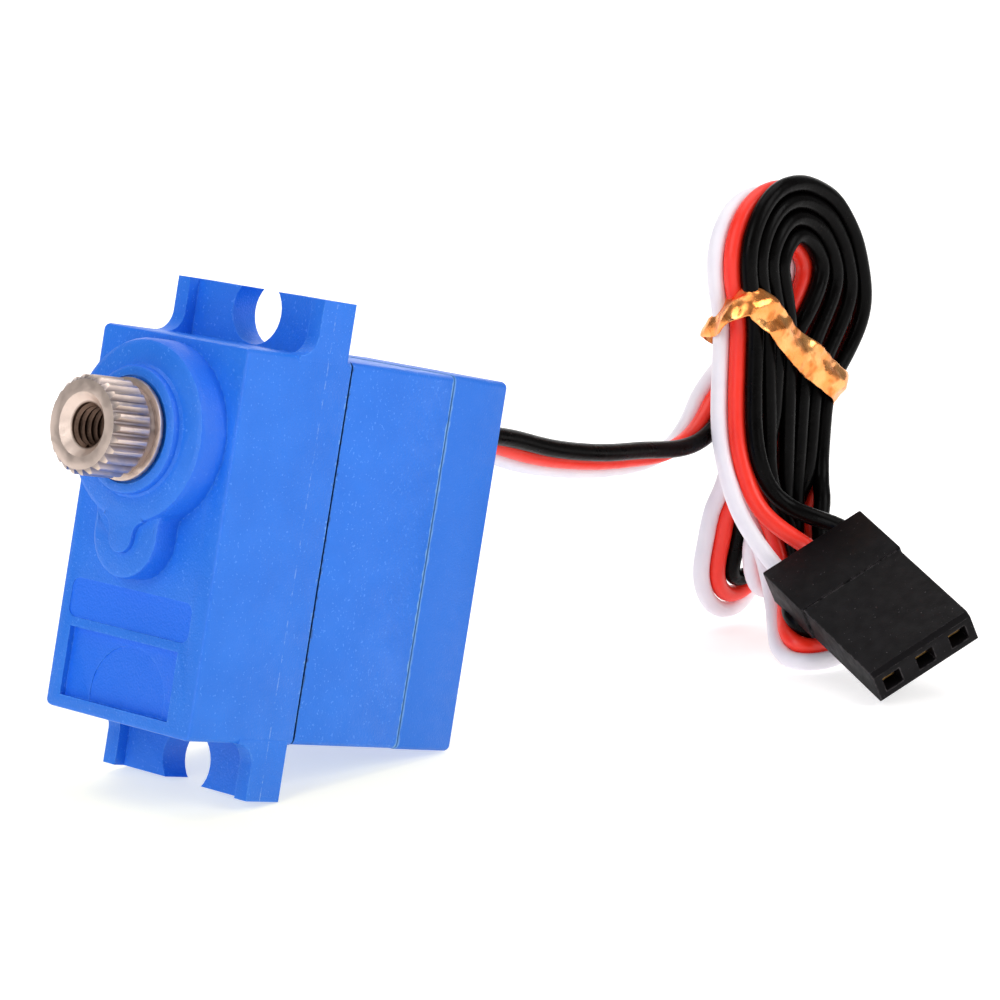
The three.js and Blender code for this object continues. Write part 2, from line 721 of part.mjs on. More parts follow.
const bluePlastic = material(0x3c82eb, 0.55, 0);
const steel = material(0xb9b2ad, 0.3, 1);
const brass = material(0xc9a04e, 0.35, 1);
const darkPlastic = material(0x232124, 0.5, 0);
const paleResin = material(0xe7e2d4, 0.5, 0);
const boardGreen = material(0x1c6b3c, 0.5, 0);
const blackRubber = material(0x1b1b1c, 0.7, 0);
const redVinyl = material(0xf0402a, 0.45, 0);
const whiteVinyl = material(0xebe6f0, 0.45, 0);
const goldFoil = material(0xe0a04a, 0.25, 1);
const tin = material(0xc7c9cc, 0.3, 1);

const model = new THREE.Group();
const servo = new THREE.Group();
const servoLean = Math.atan2(earReach, caseDepth - earBack);
servo.rotation.y = servoLean;
model.add(servo);

function addMesh(group, name, shape, look) {
  const mesh = new THREE.Mesh(toGeometry(shape), look);
  mesh.name = name;
  group.add(mesh);
  return mesh;
}

addMesh(servo, "upper_case", upperCase(), bluePlastic);
addMesh(servo, "middle_case", middleCase(), bluePlastic);
addMesh(servo, "bottom_cover", bottomCover(), bluePlastic);
corners().forEach((place, index) => {
  addMesh(servo, `case_screw_${index + 1}`, caseScrew(place), steel);
});
addMesh(servo, "output_gear_shaft", outputGearShaft(), steel);
addMesh(servo, "output_bush", outputBush(), brass);
addMesh(servo, "gear_1", gearOne(), brass);
addMesh(servo, "gear_2", gearTwo(), brass);
addMesh(servo, "gear_3", gearThree(), steel);
addMesh(servo, "idler_pin", idlerPin(), steel);
addMesh(servo, "motor_pinion", motorPinion(), brass);
addMesh(servo, "motor_armature", motorArmature(), brass);
addMesh(servo, "motor_can", motorCan(), steel);
addMesh(servo, "motor_end_cap", motorEndCap(), darkPlastic);
addMesh(servo, "motor_terminal_1", motorTerminal(-1), tin);
addMesh(servo, "motor_terminal_2", motorTerminal(1), tin);
addMesh(servo, "potentiometer_body", potBody(), darkPlastic);
addMesh(servo, "potentiometer_wiper", potWiper(), paleResin);
for (const index of [-1, 0, 1]) {
  addMesh(servo, `potentiometer_leg_${index + 2}`, potLeg(index), tin);
}
addMesh(servo, "circuit_board", circuitBoard(), boardGreen);
addMesh(servo, "controller_chip", onBoard(0.9, -2.2, 2.2, -2.4, 2.4), darkPlastic);
addMesh(servo, "motor_driver_chip", onBoard(0.8, -1.6, 1.6, -7.6, -4.4), darkPlastic);
addMesh(servo, "capacitor", onBoard(0.9, -3.4, -1.9, 3.4, 4.6), paleResin);
addMesh(servo, "cable_grommet", cableGrommet(), blackRubber);
addMesh(servo, "black_wire_tail", wireTail(-1), blackRubber);
addMesh(servo, "red_wire_tail", wireTail(0), redVinyl);
addMesh(servo, "white_wire_tail", wireTail(1), whiteVinyl);

// The servo stands on the floor with the middle of its box at the origin.
servo.updateMatrixWorld(true);
const noLead = new Set(["cable_grommet", "black_wire_tail", "red_wire_tail", "white_wire_tail"]);
const standing = new THREE.Box3();
for (const mesh of servo.children) {
  if (!noLead.has(mesh.name)) standing.expandByObject(mesh, true);
}
servo.position.set(-(standing.min.x + standing.max.x) / 2, 0, -standing.min.z);
servo.updateMatrixWorld(true);

addMesh(model, "lead_to_hank", tube(leadRoute, 24), blackRubber);
addMesh(model, "lead_hank", hankSolid(), blackRubber);
addMesh(model, "twist_tie", twistTie(), goldFoil);
addMesh(model, "lead_to_connector", tube(connectorRoute, 12), blackRubber);

const connector = new THREE.Group();
connector.position.copy(connectorRear);
connector.rotation.copy(connectorTurn);
model.add(connector);
addMesh(connector, "connector_housing", connectorHousing(), darkPlastic);
for (const index of [-1, 0, 1]) {
  addMesh(connector, `connector_contact_${index + 2}`, contact(index), brass);
}

export default model;
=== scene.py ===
import json
import math

import bpy
import numpy as np
from mathutils import Matrix, Vector, noise


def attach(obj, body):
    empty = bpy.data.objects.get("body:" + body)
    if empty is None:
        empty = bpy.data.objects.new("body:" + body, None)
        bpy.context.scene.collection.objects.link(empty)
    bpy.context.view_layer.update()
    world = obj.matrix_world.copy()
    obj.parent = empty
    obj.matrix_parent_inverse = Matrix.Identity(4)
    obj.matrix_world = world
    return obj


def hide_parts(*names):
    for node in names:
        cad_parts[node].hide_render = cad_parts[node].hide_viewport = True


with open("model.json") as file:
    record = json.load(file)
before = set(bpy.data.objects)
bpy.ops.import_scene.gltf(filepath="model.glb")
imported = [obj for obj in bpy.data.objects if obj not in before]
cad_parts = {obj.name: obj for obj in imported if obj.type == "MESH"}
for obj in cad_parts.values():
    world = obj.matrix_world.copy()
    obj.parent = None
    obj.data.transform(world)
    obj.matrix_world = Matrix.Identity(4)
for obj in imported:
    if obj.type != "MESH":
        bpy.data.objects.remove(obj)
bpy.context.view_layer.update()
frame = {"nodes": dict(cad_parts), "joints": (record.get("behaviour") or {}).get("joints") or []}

MM = 0.001
ROOT = "servo_body"
nodes = frame["nodes"]


# ---------------------------------------------------------------- camera
def add_camera():
    """A long lens on a low three-quarter view, turned a third of a degree about its own line."""
    forward = Vector((0.72334, 0.65518, -0.21798)).normalized()
    level = forward.cross(Vector((0, 0, 1))).normalized()
    right = (Matrix.Rotation(math.radians(-0.35), 3, forward) @ level).normalized()
    up = right.cross(forward)
    data = bpy.data.cameras.new("camera")
    data.sensor_width = 36
    data.lens = 159.77
    data.shift_x = -0.001
    data.shift_y = -0.005
    data.clip_start = 0.01
    camera = bpy.data.objects.new("camera", data)
    rotation = Matrix((right, up, -forward)).transposed().to_4x4()
    camera.matrix_world = Matrix.Translation((-0.181417, -0.183455, 0.074344)) @ rotation
    bpy.context.scene.collection.objects.link(camera)
    bpy.context.scene.camera = camera


add_camera()

# ---------------------------------------------------------------- the three-wire lead
# Lengths of the lead are in millimetres here and become metres when the tubes are made.
WIRE = 1.15
SPREAD = 1.17  # between the middles of neighbouring wires
TURNS = 4
LEG_X, LEG_Y, LEG_PITCH = 46.75, -1.6, 1.18
TIE_HEIGHT, TIE_SLOPE = 19.8, -0.62
FLAT = (-0.38, 0.92, 0)
# How far the right-hand runs stand off to the right: above the tie for each turn, and below it.
FAN_ABOVE, FAN_BELOW = 0.38, -0.7
# The bends over the top: each measure on the innermost turn, and what each further turn adds.
HEAD = {
    "middle": (47.35, 0.18),
    "across": (2.5, 1.09),
    "rise": (2.7, 1.3),
    "top": (27.15, 1.07),
    "skew": (0.1, 0.36),
    "tilt": (0.2, 0.18),
    "start": (0.0, -0.1),
    "forward": (0.0, 0.14),
    "bulge": (0.0, 0.12),
}
HEAD_STEPS = 10


def tie_height(x):
    """Height of the slanted tie where it crosses the hank at x."""
    return TIE_HEIGHT + TIE_SLOPE * (x - LEG_X)


def leg(side, turn, above):
    """A point on one run of a turn, by its height over the tie. Side is 1 on the right."""
    fan = 0.0
    if side > 0:
        fan = FAN_ABOVE * turn if above > 0 else FAN_BELOW
    x = LEG_X + side * (0.5 + turn) * LEG_PITCH + fan
    return (x, LEG_Y, tie_height(x) + above), FLAT


def head(turn):
    """One turn's bend over the top of the hank, from its right-hand run to its left-hand one."""
    m = {name: first + more * turn for name, (first, more) in HEAD.items()}
    found = []
    for step in range(HEAD_STEPS + 1):
        angle = m["start"] + (math.pi - m["start"]) * step / HEAD_STEPS
        c, s = math.cos(angle), math.sin(angle)
        x = m["middle"] + m["across"] * c - m["skew"] * s - m["bulge"] * max(-c, 0)
        y = LEG_Y - m["forward"] * max(c, 0)
        z = m["top"] - m["rise"] + m["rise"] * s - m["tilt"] * c
        found.append(((x, y, z), (-0.38, 0.93, -0.35 * s)))
    return found


# Each entry is a point on the middle wire and the direction from the black wire to the white one.
FROM_CASE = [
    ((15.05, 0, 18.32), (0, 1, 0)),
    ((16.4, 0, 18.0), (0, 1, 0)),
    ((18.5, 0, 17.4), (0, 0.95, -0.3)),
    ((21.5, 0, 16.3), (0, 0.8, -0.6)),
    ((24.0, 0, 15.4), (0, 0.8, -0.6)),
    ((26.8, 0, 14.7), (0, 0.8, -0.6)),
    ((30.7, 0.2, 13.95), (0, 0.8, -0.6)),
    ((34.7, 0.6, 13.5), (0, 0.8, -0.6)),
    ((37.4, 0.9, 13.2), (0.2, 0.85, -0.45)),
    ((39.2, 1.0, 13.3), (0.6, 0.8, -0.2)),
    ((41.5, 1.3, 13.8), (0.45, 0.85, 0.1)),
    ((43.2, 1.6, 14.9), (0.2, 0.9, 0.3)),
    ((44.6, 1.7, 16.2), (-0.1, 0.9, 0.35)),
    ((45.8, 1.4, 17.5), (-0.4, 0.9, 0.2)),
    ((46.9, 0.3, 18.7), (-0.4, 0.9, 0.1)),
]
# The three bends at the foot of the hank, each from a left-hand run to a right-hand one.
HIDDEN_LOOP = [
    ((46.1, -1.6, 14.5), FLAT),
    ((45.95, -1.7, 10.0), FLAT),
    ((45.65, -1.9, 6.6), (-0.4, 0.9, 0)),
    ((45.4, -2.1, 4.2), (-0.3, 0.95, 0)),
    ((46.0, -2.2, 2.6), (-0.1, 0.95, 0)),
    ((47.4, -2.2, 2.5), (0.1, 0.95, 0)),
    ((48.1, -2.1, 4.0), (0.2, 0.95, 0)),
    ((47.6, -1.8, 6.8), (0, 0.95, 0)),
    ((47.15, -1.7, 10.2), FLAT),
    ((47.5, -1.6, 14.0), FLAT),
]
BACK_LOOP = [
    ((44.9, -1.2, 14.5), FLAT),
    ((44.5, -0.7, 10.6), (-0.5, 0.87, 0)),
    ((44.4, 0.7, 7.0), (-0.7, 0.65, -0.2)),
    ((44.4, 1.6, 3.7), (-0.65, 0.5, -0.55)),
    ((46.3, 2.0, 1.7), (-0.1, 0.35, -0.93)),
    ((48.5, 1.7, 2.4), (0.4, 0.4, -0.8)),
    ((49.2, 0.3, 5.2), (0.2, 0.95, -0.1)),
    ((48.2, -1.6, 10.0), FLAT),
    ((48.75, -1.6, 14.0), FLAT),
]
FRONT_LOOP = [
    ((43.8, -1.9, 14.5), (-0.4, 0.9, 0)),
    ((43.5, -2.2, 11.0), (-0.4, 0.9, 0)),
    ((44.7, -3.3, 7.2), (-0.4, 0.9, -0.2)),
    ((44.0, -5.0, 4.2), (-0.5, 0.4, -0.75)),
    ((40.3, -7.7, 2.1), (-0.5, -0.3, -0.8)),
    ((40.1, -9.8, 1.25), (0.05, -0.45, -0.9)),
    ((43.4, -9.6, 1.3), (0.3, -0.35, -0.88)),
    ((46.8, -6.8, 2.8), (0.5, -0.2, -0.85)),
    ((48.1, -3.6, 6.6), (0.3, 0.9, -0.2)),
    ((49.2, -2.0, 10.3), FLAT),
    ((49.95, -1.7, 14.0), FLAT),
]
TO_CONNECTOR = [
    ((41.9, -2.1, 14.8), (-0.5, 0.86, 0)),
    ((41.8, -2.9, 12.0), (-0.55, 0.8, 0)),
]
# Where each wire passes on its own, on its way from the ribbon to its contact.
FAN = {"black": (44.1, -4.3, 9.6), "red": (42.1, -4.1, 9.3), "white": (40.8, -3.5, 9.1)}
SIDES = {"black": -1, "red": 0, "white": 1}
CONNECTOR_REAR = np.array((43.36, -7.97, 6.86))
CONNECTOR_ALONG = np.array((-0.335, -0.902, -0.272))
CONNECTOR_ACROSS = np.array((0.764, -0.429, 0.482))
CONTACT_PITCH = 2.54
LEAD_IN, INSIDE = 1.4, 1.2  # straight lengths of wire behind the connector and in it
LINE_STEP = 0.5


def ribbon_route():
    """The whole lead from the case to just before the connector, turn by turn."""
    route = list(FROM_CASE)
    feet = (HIDDEN_LOOP, BACK_LOOP, FRONT_LOOP, TO_CONNECTOR)
    for turn in range(TURNS):
        if turn:
            route.append(leg(1, turn, -1.4))
        route.append(leg(1, turn, 1.5))
        route += head(turn)
        route += [leg(-1, turn, 1.4), leg(-1, turn, -1.4)]
        route += feet[turn]
    return route


def smooth_line(points, per=8, closed=False):
    """A Catmull-Rom curve through the points."""
    p = np.array(points, float)
    if closed:
        ends = np.vstack([p[-1:], p, p[:2]])
        spans = len(p)
    else:
        ends = np.vstack([2 * p[0] - p[1], p, 2 * p[-1] - p[-2]])
        spans = len(p) - 1
    u = np.arange(per)[:, None] / per
    found = []
    for i in range(spans):
        a, b, c, d = ends[i : i + 4]
        linear = (c - a) * u
        square = (2 * a - 5 * b + 4 * c - d) * u**2
        cube = (3 * b - a - 3 * c + d) * u**3
        found.append(0.5 * (2 * b + linear + square + cube))
    if not closed:
        found.append(p[-1:])
    return np.vstack(found)


def evenly(line, step):
    """The line resampled at even steps along its length."""
    gone = np.r_[0, np.cumsum(np.linalg.norm(np.diff(line, axis=0), axis=1))]
    stops = np.linspace(0, gone[-1], int(round(gone[-1] / step)) + 1)
    return np.stack([np.interp(stops, gone, line[:, k]) for k in range(3)], 1)


def eased(line, rounds=10, held=8):
    """The line with its corners rounded off, apart from its held ends."""
    line = line.copy()
    for _ in range(rounds):
        middle = (line[:-2] + 2 * line[1:-1] + line[2:]) / 4
        line[held:-held] = middle[held - 1 : 1 - held]
    return line


def wire_lines():
    """The middle line of each wire, before the wires are pushed apart."""
    route = ribbon_route()
    centre = np.array([r[0] for r in route], float)
    width = np.array([Vector(r[1]).normalized() for r in route], float)
    lines = {}
    for name, side in SIDES.items():
        entry = CONNECTOR_REAR + side * -CONTACT_PITCH * CONNECTOR_ACROSS
        points = list(centre + side * SPREAD * width)
        points.append(np.array(FAN[name]))
        points.append(entry - LEAD_IN * CONNECTOR_ALONG)
        points.append(entry)
        points.append(entry + INSIDE * CONNECTOR_ALONG)
        lines[name] = eased(evenly(smooth_line(points), LINE_STEP))
    return lines


SETTLE_ROUNDS, ROUNDS_PER_SEARCH = 240, 12
BEND_EASE, ROUTE_PULL = 0.10, 0.04
FIXED_ENDS = 5  # points at each end of a wire that don't move
OWN_NEIGHBOURS = 7  # points of one wire this close in order never push each other
SEARCH_REACH = 1.7 * WIRE
LOWEST = WIRE / 2 + 0.02


def settle(lines):
    """Pushes touching wires a diameter apart and eases their bends, near their route."""
    names = list(lines)
    p = np.vstack([lines[n] for n in names])
    owner = np.concatenate([[i] * len(lines[n]) for i, n in enumerate(names)])
    order = np.concatenate([np.arange(len(lines[n])) for n in names])
    home = p.copy()
    spans = []
    start = 0
    free = np.ones(len(p), bool)
    for n in names:
        end = start + len(lines[n])
        free[start : start + FIXED_ENDS] = False
        free[end - FIXED_ENDS : end] = False
        spans.append((start, end))
        start = end
    free = free[:, None]
    near_in_order = abs(order[:, None] - order[None]) < OWN_NEIGHBOURS
    near_self = (owner[:, None] == owner[None]) & near_in_order
    for turn in range(SETTLE_ROUNDS):
        if turn % ROUNDS_PER_SEARCH == 0:
            square = (p * p).sum(1)
            far = square[:, None] + square[None] - 2 * p @ p.T
            first, second = np.where(np.triu((far < SEARCH_REACH**2) & ~near_self, 1))
        gap = p[first] - p[second]
        reach = np.sqrt((gap * gap).sum(1)) + 1e-9
        short = np.maximum(WIRE - reach, 0) / 2
        push = gap * (short / reach)[:, None]
        move = np.zeros_like(p)
        hits = np.zeros(len(p))
        np.add.at(move, first, push)
        np.add.at(move, second, -push)
        np.add.at(hits, first, short > 0)
        np.add.at(hits, second, short > 0)
        p = p + np.where(free, move / np.sqrt(np.maximum(hits, 1))[:, None], 0)
        for a, b in spans:
            bow = (p[a : b - 2] + p[a + 2 : b]) / 2 - p[a + 1 : b - 1]
            p[a + 1 : b - 1] += np.where(free[a + 1 : b - 1], BEND_EASE * bow, 0)
        p = p + np.where(free, ROUTE_PULL * (home - p), 0)
        p[:, 2] = np.maximum(p[:, 2], LOWEST)
        p = np.where(free, p, home)
    return {n: p[a:b] for n, (a, b) in zip(names, spans)}


def unit(v):
    """Each vector at a length of one."""
    return v / np.linalg.norm(v, axis=-1, keepdims=True)


def sweep(rings, closed):
    """Points and faces of a tube through rings of points, with capped ends unless it is closed."""
    count = len(rings[0])
    points = np.vstack(rings)
    faces = []
    spans = len(rings) if closed else len(rings) - 1
    for i in range(spans):
        a, b = i * count, (i + 1) % len(rings) * count
        for j in range(count):
            k = (j + 1) % count
            faces.append((a + j, a + k, b + k, b + j))
    if not closed:
        faces.append(tuple(range(count))[::-1])
        last = (len(rings) - 1) * count
        faces.append(tuple(last + j for j in range(count)))
    return points, faces


def round_tube(line, radius, sides=14):
    """Rings of a round tube along a line, in metres, whose sides don't twist about it."""
    along = unit(np.gradient(line, axis=0))
    side = Vector(along[0]).orthogonal().normalized()
    angles = 2 * np.pi * np.arange(sides) / sides
    rings = []
    for place, way in zip(line, along):
        way = Vector(way)
        side = (side - side.dot(way) * way).normalized()
        other = way.cross(side)
        ring = np.outer(np.cos(angles), side) + np.outer(np.sin(angles), other)
        rings.append((place + radius * ring) * MM)
    return rings


def add_mesh(name, points, faces, body, smooth=True):
    """A new piece that rides on a body."""
    mesh = bpy.data.meshes.new(name)
    mesh.from_pydata([tuple(p) for p in points], [], faces)
    mesh.polygons.foreach_set("use_smooth", [smooth] * len(mesh.polygons))
    mesh.update()
    piece = bpy.data.objects.new(name, mesh)
    bpy.context.scene.collection.objects.link(piece)
    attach(piece, body)
    return piece


lead = settle(wire_lines())
wires = {}
for colour in lead:
    tube = sweep(round_tube(lead[colour], WIRE / 2), False)
    wires[colour] = add_mesh(f"{colour}_lead_wire", *tube, ROOT)
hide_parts("lead_to_hank", "lead_hank", "lead_to_connector")

# ---------------------------------------------------------------- materials


class Surface:
    """A node material made from object coordinates in metres."""

    def __init__(self, name, colour, rough, metal=0.0):
        self.material = bpy.data.materials.new(name)
        self.material.use_nodes = True
        self.tree = self.material.node_tree
        self.shader = self.tree.nodes["Principled BSDF"]
        self.shader.inputs["Base Color"].default_value = (*colour, 1)
        self.shader.inputs["Roughness"].default_value = rough
        self.shader.inputs["Metallic"].default_value = metal
        self.place = self.add("ShaderNodeTexCoord").outputs["Object"]
        self.colour = None
        self.base = colour
        self.normal = None

    def add(self, kind, **settings):
        """A shader node with its settings."""
        node = self.tree.nodes.new(kind)
        for key, value in settings.items():
            setattr(node, key, value)
        return node

    def link(self, a, b):
        self.tree.links.new(a, b)

    def math(self, operation, a, b=0.0):
        """One sum on numbers or shader values."""
        node = self.add("ShaderNodeMath", operation=operation)
        for socket, value in zip(node.inputs, (a, b)):
            if isinstance(value, (int, float)):
                socket.default_value = value
            else:
                self.link(value, socket)
        return node.outputs[0]

    def noise(self, size, detail=2.0, rough=0.5):
        """Soft noise whose blobs are about this many millimetres across."""
        node = self.add("ShaderNodeTexNoise")
        node.inputs["Scale"].default_value = 1 / (size * MM)
        node.inputs["Detail"].default_value = detail
        node.inputs["Roughness"].default_value = rough
        self.link(self.place, node.inputs["Vector"])
        return node.outputs["Fac"]

    def ramp(self, value, low, high, to_low=0.0, to_high=1.0):
        """Maps a value from one range to another and holds it there."""
        node = self.add("ShaderNodeMapRange", clamp=True)
        self.link(value, node.inputs["Value"])
        ranges = {"From Min": low, "From Max": high, "To Min": to_low, "To Max": to_high}
        for key, number in ranges.items():
            node.inputs[key].default_value = number
        return node.outputs["Result"]

    def paint(self, mask, colour, share=1.0):
        """Lays a colour over what is there, by the mask."""
        node = self.add("ShaderNodeMix", data_type="RGBA")
        if share != 1.0:
            mask = self.math("MULTIPLY", mask, share)
        self.link(mask, node.inputs["Factor"])
        if self.colour is None:
            node.inputs["A"].default_value = (*self.base, 1)
        else:
            self.link(self.colour, node.inputs["A"])
        node.inputs["B"].default_value = (*colour, 1)
        self.colour = node.outputs["Result"]
        self.link(self.colour, self.shader.inputs["Base Color"])

    def gloss(self, value, low, high):
        """Varies the roughness between two values, by noise."""
        self.link(self.ramp(value, 0.3, 0.7, low, high), self.shader.inputs["Roughness"])

    def bump(self, height, depth, strength=1.0):
        """Adds a bump on top of those before it. Its depth is in millimetres."""
        node = self.add("ShaderNodeBump")
        node.inputs["Strength"].default_value = strength
        node.inputs["Distance"].default_value = depth * MM
        self.link(height, node.inputs["Height"])
        if self.normal is not None:
            self.link(self.normal, node.inputs["Normal"])
        self.normal = node.outputs["Normal"]
        self.link(self.normal, self.shader.inputs["Normal"])

    def edge(self, radius):
        """One at sharp edges and nought on flat faces."""
        soft = self.add("ShaderNodeBevel", samples=4)
        soft.inputs["Radius"].default_value = radius * MM
        hard = self.add("ShaderNodeNewGeometry").outputs["Normal"]
        dot = self.add("ShaderNodeVectorMath", operation="DOT_PRODUCT")
        self.link(soft.outputs[0], dot.inputs[0])
        self.link(hard, dot.inputs[1])
        return self.ramp(dot.outputs["Value"], 0.93, 0.8)

    def facing(self, way, low, high, both=False):
        """One where the surface faces a way, or either way along that line if both is set."""
        dot = self.add("ShaderNodeVectorMath", operation="DOT_PRODUCT")
        self.link(self.add("ShaderNodeNewGeometry").outputs["True Normal"], dot.inputs[0])
        dot.inputs[1].default_value = way
        value = self.math("ABSOLUTE", dot.outputs["Value"]) if both else dot.outputs["Value"]
        return self.ramp(value, low, high)

    def component(self, which):
        """One coordinate, by its letter."""
        node = self.add("ShaderNodeSeparateXYZ")
        self.link(self.place, node.inputs[0])
        return node.outputs[which]


output = next(j for j in frame["joints"] if j["name"] == "output_turn")
output_tip = Vector(output["pos_m"])
outward = Vector(output["axis"]).normalized()
# In millimetres: how far the shaft's tip stands in front of the case's front face, and how far
# behind that face the mould's line and the two seams lie.
SHAFT_REACH = 6.3
PARTING_LINE, FRONT_SEAM, REAR_SEAM = 6.62, 8.69, 17.75


def depth_of(surface):
    """Distance behind the case's front face, in millimetres, as a shader value."""
    node = surface.add("ShaderNodeVectorMath", operation="DOT_PRODUCT")
    surface.link(surface.place, node.inputs[0])
    node.inputs[1].default_value = -outward / MM
    start = -outward.dot(output_tip) / MM
    return surface.math("SUBTRACT", node.outputs["Value"], start + SHAFT_REACH)


def axis_distance(surface):
    """Distance from the output shaft's own line, in millimetres, as a shader value."""
    away = surface.add("ShaderNodeVectorMath", operation="SUBTRACT")
    surface.link(surface.place, away.inputs[0])
    away.inputs[1].default_value = output_tip
    cross = surface.add("ShaderNodeVectorMath", operation="CROSS_PRODUCT")
    surface.link(away.outputs[0], cross.inputs[0])
    cross.inputs[1].default_value = outward
    size = surface.add("ShaderNodeVectorMath", operation="LENGTH")
    surface.link(cross.outputs[0], size.inputs[0])
    return surface.math("MULTIPLY", size.outputs["Value"], 1 / MM)


def line_at(surface, depth, where, half):
    """A thin line round the case at one depth."""
    away = surface.math("ABSOLUTE", surface.math("SUBTRACT", depth, where))
    return surface.ramp(away, half, half * 0.5)


def case_surface():
    """Moulded blue plastic, with its seams, its label recesses and its wear, and with painted
    shade on the boss walls and in the front seam, painted light in the rear seam's gap and painted
    highlights on the edges.
    """
    s = Surface("case_blue", (0.008, 0.155, 0.72), 0.45)
    s.shader.inputs["Specular IOR Level"].default_value = 0.42
    cloud = s.noise(3.0, 3)
    s.paint(s.ramp(cloud, 0.35, 0.7), (0.014, 0.185, 0.8), 0.6)
    grain = s.noise(0.13, 2)
    speck = s.ramp(s.noise(0.18, 1), 0.66, 0.74)
    s.paint(speck, (0.12, 0.36, 0.95), 0.45)
    s.gloss(s.noise(0.8, 3), 0.38, 0.54)
    depth = depth_of(s)
    side = s.ramp(s.math("ABSOLUTE", s.component("Y")), 5.95 * MM, 6.02 * MM)
    dashes = s.ramp(s.noise(0.5, 5, rough=0.75), 0.48, 0.58)
    parting = s.math("MULTIPLY", line_at(s, depth, PARTING_LINE, 0.045), dashes)
    parting = s.math("MULTIPLY", parting, side)
    s.paint(parting, (0.3, 0.5, 0.85), 0.5)
    rubbed = s.ramp(s.noise(0.7, 4), 0.3, 0.55, 0.35, 1.0)
    ragged = s.math("ADD", depth, s.ramp(s.noise(0.6, 3), 0.3, 0.7, -0.07, 0.07))
    seam = s.math("MULTIPLY", line_at(s, ragged, REAR_SEAM, 0.17), rubbed)
    s.paint(seam, (0.3, 0.55, 0.78), 0.7)
    # Painted light: the walls of the rear seam's gap lie in shade and are painted pale.
    painted_light_in_rear_gap = line_at(s, depth, REAR_SEAM, 0.35)
    painted_light_in_rear_gap = s.math("MULTIPLY", painted_light_in_rear_gap, s.facing(outward, 0.7, 0.9, both=True))
    s.paint(painted_light_in_rear_gap, (0.2, 0.42, 0.7), 0.9)
    front = s.facing(outward, 0.9, 0.97)
    inset = s.math("MULTIPLY", s.ramp(depth, 0.02, 0.04), s.ramp(depth, 1.0, 0.9))
    s.paint(s.math("MULTIPLY", inset, front), (0.004, 0.14, 0.82), 0.85)
    # Painted shade: the side walls of the bosses on the front face are painted a darker blue.
    painted_shade_on_boss_walls = s.math("MULTIPLY", s.ramp(depth, 0.2, -0.15), s.facing(outward, 0.8, 0.35))
    s.paint(painted_shade_on_boss_walls, (0.001, 0.105, 0.72), 0.55)
    s.paint(s.ramp(depth, REAR_SEAM - 0.05, REAR_SEAM + 0.15), (0.006, 0.14, 0.64), 0.55)
    # Painted shade: the walls of the front seam's gap are painted near black.
    painted_shade_in_front_seam = line_at(s, depth, FRONT_SEAM, 0.3)
    painted_shade_in_front_seam = s.math("MULTIPLY", painted_shade_in_front_seam, s.facing(outward, 0.7, 0.9, both=True))
    s.paint(painted_shade_in_front_seam, (0.006, 0.012, 0.03), 0.85)
    # Painted shade: a broken dark line along the front seam, where the gap's shadow shows.
    painted_seam_shadow_line = s.ramp(s.noise(0.35, 4), 0.44, 0.6)
    painted_seam_shadow_line = s.math("MULTIPLY", line_at(s, ragged, FRONT_SEAM + 0.03, 0.18), painted_seam_shadow_line)
    s.paint(painted_seam_shadow_line, (0.004, 0.012, 0.04), 0.6)
    chipped = s.ramp(s.noise(0.3, 3), 0.55, 0.66)
    chipped = s.math("MULTIPLY", line_at(s, ragged, FRONT_SEAM - 0.07, 0.16), chipped)
    s.paint(chipped, (0.2, 0.45, 0.9), 0.6)
    # Lighter paint on the edges, broken by noise: partly wear, partly painted highlight along the
    # rounded edges.
    wear = s.math("MULTIPLY", s.edge(0.2), s.ramp(s.noise(0.5, 3), 0.4, 0.6))
    s.paint(wear, (0.1, 0.36, 0.95), 0.6)
    s.bump(grain, 0.035, 0.9)
    s.bump(s.noise(0.5, 2), 0.012, 0.5)
    return s.material


METAL_GRAIN = 0.1


def metal_surface(name, colour, rough, depth=0.003, stain=None, bore=None):
    """Bare metal. With a bore's radius, it is the splined shaft's: painted shade in the grooves,
    on the end face and in the hole.
    """
    s = Surface(name, colour, rough, 1.0)
    s.gloss(s.noise(METAL_GRAIN * 5, 4), rough, rough + 0.14)
    s.bump(s.noise(METAL_GRAIN, 3), depth)
    if stain:
        s.paint(s.ramp(s.noise(0.7, 4), 0.52, 0.75), stain, 0.6)
    if bore:
        away = axis_distance(s)
        # Painted shade: the spline's grooves are painted dark.
        painted_groove_shade = s.math("MULTIPLY", s.ramp(away, 2.86, 2.68), s.ramp(away, 2.3, 2.42))
        end = s.facing(outward, 0.9, 0.95)
        painted_groove_shade = s.math("MULTIPLY", painted_groove_shade, s.math("SUBTRACT", 1, end))
        s.paint(painted_groove_shade, (0.26, 0.22, 0.22), 0.8)
        # Painted shade: the face that looks out along the shaft is painted a darker nickel.
        s.paint(end, (0.72, 0.59, 0.52), 0.75)
        # Painted shade: the inside of the hole, with its thread, is painted near black.
        s.paint(s.ramp(away, bore, bore - 0.12), (0.10, 0.055, 0.035), 0.93)
    return s.material


def plastic_surface(name, colour, rough, cloud, wear=None, shine=0.5):
    """Matt plastic, cloudy in colour, with worn edges and specks if wear has a colour."""
    s = Surface(name, colour, rough)
    s.shader.inputs["Specular IOR Level"].default_value = shine
    s.paint(s.ramp(s.noise(1.5, 3), 0.4, 0.7), cloud, 0.6)
    s.gloss(s.noise(0.7, 3), rough - 0.06, rough + 0.1)
    if wear:
        mask = s.math("MULTIPLY", s.edge(0.2), s.ramp(s.noise(0.4, 3), 0.38, 0.6))
        s.paint(mask, wear, 0.55)
        s.paint(s.ramp(s.noise(0.16, 1), 0.74, 0.8), wear, 0.5)
    s.bump(s.noise(0.15, 2), 0.008)
    return s.material


